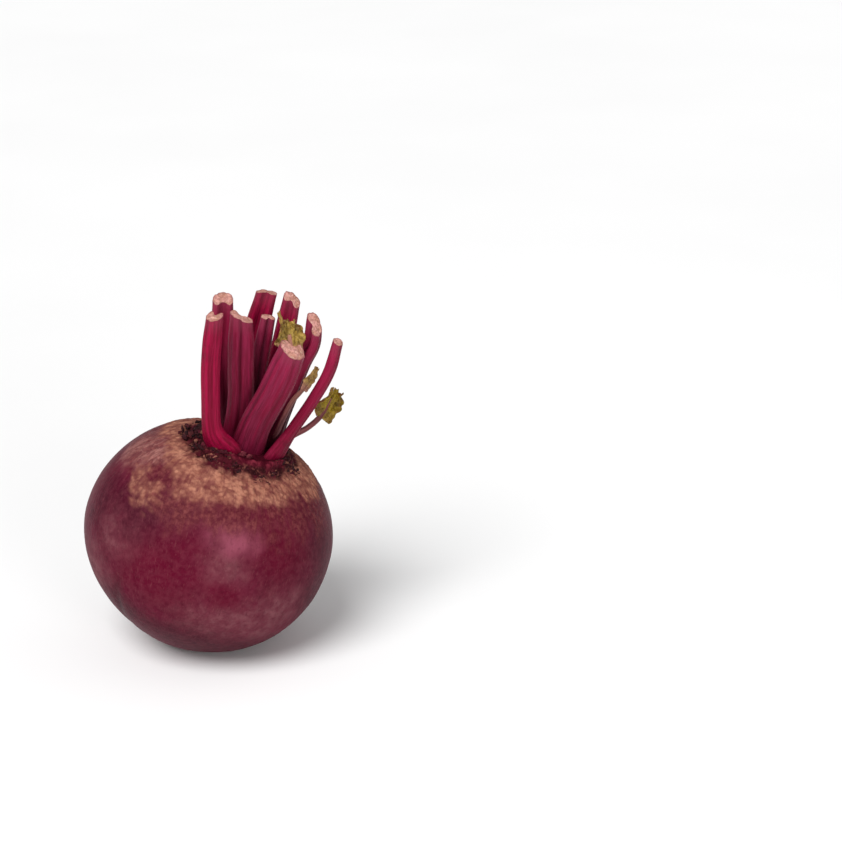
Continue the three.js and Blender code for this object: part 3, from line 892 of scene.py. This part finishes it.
# %% Root skin: leaf scars, neck, furrows and tail
scar_gaps = maths(tree, "ADD", blotches(tree, spot, 420, 0.34, 0.46, 5), 0.4, True)
scar_mask = both(tree, read(tree, "scar"), scar_gaps)
dark = mix(tree, blotches(tree, spot, 300, 0.46, 0.58), rgb(46, 15, 18), rgb(70, 18, 28))
dark = mix(tree, both(tree, blotches(tree, spot, 640, 0.54, 0.66), 0.45), dark, rgb(112, 62, 54))
colour = mix(tree, scar_mask, colour, dark)
colour = mix(tree, both(tree, read(tree, "neck"), 0.9), colour, rgb(66, 8, 24))
rim_colour = mix(tree, blotches(tree, spot, 500, 0.42, 0.62, 4), rgb(68, 8, 24), rgb(112, 36, 50))
colour = mix(tree, read(tree, "front_rim"), colour, rim_colour)
# painted shade along the two furrows
colour = mix(tree, both(tree, read(tree, "furrow"), 0.35), colour, rgb(52, 18, 24))
tail_colour = mix(tree, blotches(tree, spot, 500, 0.4, 0.6), rgb(78, 34, 36), rgb(132, 84, 70))
colour = mix(tree, read(tree, "tail_cut"), colour, tail_colour)
feed(tree, colour, shader.inputs["Base Color"])

# %% Root skin: gloss and fine relief
rough = maths(tree, "ADD", both(tree, read(tree, "grey"), 0.12), 0.44)
rough = maths(tree, "ADD", rough, both(tree, cork_patch, 0.32))
rough = maths(tree, "SUBTRACT", rough, both(tree, read(tree, "bloom_and_highlight"), 0.06), True)
feed(tree, rough, shader.inputs["Roughness"])
scaly = both(tree, lump, maths(tree, "ADD", cork_patch, 0.05, True))
netted = both(tree, grains, maths(tree, "MULTIPLY", maths(tree, "MAXIMUM", russet_mask, cork_patch), 0.4))
lines = both(tree, blotches(tree, streak, 1.9, 0.3, 0.7, 5), 0.12)
relief = maths(tree, "ADD", maths(tree, "ADD", scaly, netted), lines)
bumps(tree, shader, maths(tree, "ADD", relief, both(tree, mottle, 0.12)), 0.3, 0.85)
root.data.materials.append(skin)
print("root skin has", len(tree.nodes), "nodes")

# %% [markdown]
# ### The stalks
#
# A stalk is magenta crimson near its foot and duller towards the cut. Its strings are lighter. Painted
# shade makes its furrows and channel nearly black red and darkens the feet of the stalks inside the
# bunch. The knife's cut is pale and dry, with the ends of the strings in it and pale specks that are
# painted highlights.

# %% Stalk skin
stalk_skin, tree, shader, spot = new_material("stalk_skin", 0.42, specular=0.09)
strand = read(tree, "strand", "Vector")
up = read(tree, "up")
streaks = blotches(tree, strand, 0.9, 0.36, 0.62, 3)
fine_streaks = blotches(tree, strand, 2.8, 0.40, 0.62, 4)
colour = mix(tree, streaks, rgb(104, 1, 30), rgb(146, 2, 50))
mauve = mix(tree, fine_streaks, rgb(86, 20, 40), rgb(104, 34, 56))
mauve = mix(tree, both(tree, maths(tree, "POWER", up, 2.0), 0.55), mauve, rgb(142, 42, 76))
colour = mix(tree, both(tree, read(tree, "dull"), maths(tree, "ADD", streaks, 0.35, True)), colour, mauve)
colour = mix(tree, both(tree, fine_streaks, 0.20), colour, rgb(152, 30, 72))
colour = mix(tree, both(tree, read(tree, "ridge"), 0.24), colour, rgb(158, 18, 66))
# painted shade in the furrows and the channel
colour = mix(tree, both(tree, read(tree, "sunken_shade"), 0.8), colour, rgb(48, 2, 15))
# painted shade on the feet of the stalks inside the bunch
colour = mix(tree, both(tree, read(tree, "deep"), 0.85), colour, rgb(34, 1, 10))
dry = ease(tree, up, 0.86, 1)
colour = mix(tree, both(tree, dry, 0.4), colour, rgb(128, 56, 74))
colour = mix(tree, both(tree, blotches(tree, spot, 150, 0.56, 0.78), 0.4), colour, rgb(70, 12, 26))
low = ease(tree, up, 0.07, 0)
colour = mix(tree, both(tree, low, 0.55), colour, rgb(78, 12, 28))
feed(tree, colour, shader.inputs["Base Color"])
bumps(tree, shader, fine_streaks, 0.14, 0.6)

# %% Cut flesh
flesh, tree, shader, spot = new_material("cut_flesh", 0.65, specular=0.25)
ends = blotches(tree, spot, 1300, 0.48, 0.60, 3)
colour = mix(tree, blotches(tree, spot, 420, 0.38, 0.60, 4), rgb(180, 126, 108), rgb(206, 148, 138))
colour = mix(tree, both(tree, ends, 0.45), colour, rgb(166, 104, 96))
# pale specks: painted highlights on the cut
colour = mix(tree, both(tree, blotches(tree, spot, 700, 0.55, 0.68), 0.5), colour, rgb(236, 196, 176))
colour = mix(tree, both(tree, read(tree, "rim"), 0.8), colour, rgb(140, 74, 78))
feed(tree, colour, shader.inputs["Base Color"])
bumps(tree, shader, maths(tree, "ADD", ends, blotches(tree, spot, 520, 0.3, 0.7, 4)), 0.25, 0.8)

# %% Give the cut faces their own material
for stalk in stalks.values():
    stalk.data.materials.append(stalk_skin)
    stalk.data.materials.append(flesh)
    share = np.empty(len(stalk.data.vertices))
    stalk.data.attributes["up"].data.foreach_get("value", share)
    for face in stalk.data.polygons:
        face.material_index = int(all(share[v] > AT_CUT for v in face.vertices))
    smooth(stalk, 55)

# %% [markdown]
# ### The young leaves
#
# They never saw much light, so they are yellow with an olive tint, pink where the blade joins its
# stem, pale along the veins and browned at the edges. How pale a leaf is comes partly from its own
# colour and partly from painted light: the low leaf is painted darker as shade and the sliver lighter
# as lit. Their stems are thin and dull.

# %% Leaf materials
leaf_skin, tree, shader, spot = new_material("young_leaf", 0.5, specular=0.3)
olive = mix(tree, blotches(tree, spot, 380, 0.36, 0.60, 5), rgb(94, 70, 6), rgb(152, 126, 22))
yellow = mix(tree, blotches(tree, spot, 380, 0.36, 0.60, 5), rgb(130, 98, 40), rgb(196, 160, 92))
# olive to yellow by paleness: the leaf's own colour with painted light and shade
colour = mix(tree, read(tree, "pale_and_lit"), olive, yellow)
colour = mix(tree, both(tree, blotches(tree, spot, 900, 0.52, 0.66), 0.6), colour, rgb(84, 60, 18))
vein_colour = mix(tree, read(tree, "pale_and_lit"), rgb(150, 126, 50), rgb(214, 184, 122))
colour = mix(tree, both(tree, read(tree, "vein"), 0.6), colour, vein_colour)
edge_brown = both(tree, read(tree, "edge"), blotches(tree, spot, 500, 0.42, 0.58))
colour = mix(tree, both(tree, edge_brown, 0.6), colour, rgb(116, 62, 40))
pink = ease(tree, read(tree, "up"), 0.42, 0.08)
pinkness = maths(tree, "ADD", maths(tree, "MULTIPLY", read(tree, "pale_and_lit"), 2.0), 0.1, True)
colour = mix(tree, both(tree, pink, pinkness), colour, rgb(186, 130, 112))
feed(tree, colour, shader.inputs["Base Color"])
bumps(tree, shader, blotches(tree, spot, 900, 0.3, 0.7, 4), 0.25, 0.8)

stem_skin, tree, shader, spot = new_material("young_stem", 0.5, specular=0.3)
strand = read(tree, "strand", "Vector")
colour = mix(tree, blotches(tree, strand, 1.4, 0.36, 0.64), rgb(84, 24, 36), rgb(124, 58, 62))
# the stem's pale top follows the leaf's paleness, partly painted light
high = both(tree, maths(tree, "POWER", read(tree, "up"), 3.0), 0.8)
high = both(tree, high, maths(tree, "ADD", maths(tree, "MULTIPLY", read(tree, "pale_and_lit"), 2.0), 0.1, True))
colour = mix(tree, high, colour, rgb(196, 138, 116))
feed(tree, colour, shader.inputs["Base Color"])
bumps(tree, shader, blotches(tree, strand, 3.0, 0.35, 0.65), 0.1, 0.5)

for stem_piece, leaf in young.values():
    stem_piece.data.materials.append(stem_skin)
    smooth(stem_piece, 50)
    leaf.data.materials.append(leaf_skin)


# %% Scrap materials
def dry_material(name, tones, dark_spots):
    material, tree, shader, spot = new_material(name, 0.8, specular=0.15)
    ramp = tree.nodes.new("ShaderNodeValToRGB")
    ramp.color_ramp.elements[0].color = tones[0][1]
    ramp.color_ramp.elements[1].color = tones[-1][1]
    for at, colour in tones[1:-1]:
        ramp.color_ramp.elements.new(at).color = colour
    feed(tree, read(tree, "shade"), ramp.inputs["Fac"])
    spots = both(tree, blotches(tree, spot, 1000, 0.42, 0.6, 4), dark_spots)
    colour = mix(tree, spots, ramp.outputs["Color"], rgb(44, 20, 24))
    feed(tree, colour, shader.inputs["Base Color"])
    bumps(tree, shader, blotches(tree, spot, 1400, 0.3, 0.7, 4), 0.25, 0.8)
    return material


scraps.data.materials.append(dry_material("dry_scraps", (
    (0, rgb(34, 13, 16)), (0.35, rgb(56, 20, 26)), (0.6, rgb(84, 20, 36)),
    (0.82, rgb(94, 46, 42)), (1, rgb(134, 84, 68))), 0.5))
bud_scales.data.materials.append(dry_material("bud_scales", (
    (0, rgb(96, 26, 42)), (0.5, rgb(122, 48, 60)), (1, rgb(154, 88, 86))), 0.35))

# %% [markdown]
# ## Floor and light
#
# A plain pale floor and soft light. The main light is broad and comes from the upper left in front,
# an even surround fills the shadows, and the floor throws light back from below.

# %% Floor
bpy.ops.object.select_all(action="DESELECT")
bpy.ops.mesh.primitive_plane_add(size=6)
floor = bpy.context.object
floor.name = "floor"
paper, tree, shader, spot = new_material("pale_floor", 0.9, specular=0.1)
feed(tree, mix(tree, blotches(tree, spot, 3, 0.3, 0.7), rgb(247, 247, 247), rgb(250, 250, 250)),
     shader.inputs["Base Color"])
floor.data.materials.append(paper)


# %% Lights
def aimed(light, spot_at):
    light.rotation_euler = (Vector((0, 0, 0.05)) - Vector(spot_at)).to_track_quat("-Z", "Y").to_euler()
    return light


def lamp(name, spot_at, size, power):
    bpy.ops.object.light_add(type="AREA", location=spot_at)
    light = bpy.context.object
    light.name = name
    light.data.size = size
    light.data.energy = power
    return aimed(light, spot_at)


SUN_FROM = (-0.6, -0.9, 1.3)  # metres: from the upper left in front
bpy.ops.object.light_add(type="SUN", location=SUN_FROM)
sun = aimed(bpy.context.object, SUN_FROM)
sun.name = "broad_light"
sun.data.angle = math.radians(35)
sun.data.energy = 2.75
lamp("soft_front", (0.35, -0.95, 0.30), 0.35, 3.0)
world = bpy.data.worlds.new("surround")
bpy.context.scene.world = world
world.use_nodes = True
world.node_tree.nodes["Background"].inputs["Color"].default_value = (1, 1, 1, 1)
world.node_tree.nodes["Background"].inputs["Strength"].default_value = 0.38

# %% [markdown]
# ## Tie the pieces to the model
#
# Every new piece rides on the model's one body, and a piece that stands for a solid hides that solid.

# %% Ride and replace
def tie(piece, stands_for=None):
    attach(piece, "root")
    if stands_for:
        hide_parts(stands_for)


tie(root, "root")
tie(scraps)
tie(bud_scales)
for name, stalk in stalks.items():
    tie(stalk, name)
for name, (stem_piece, leaf) in young.items():
    tie(stem_piece)
    tie(leaf, name)

# %% Update the scene
bpy.context.view_layer.update()
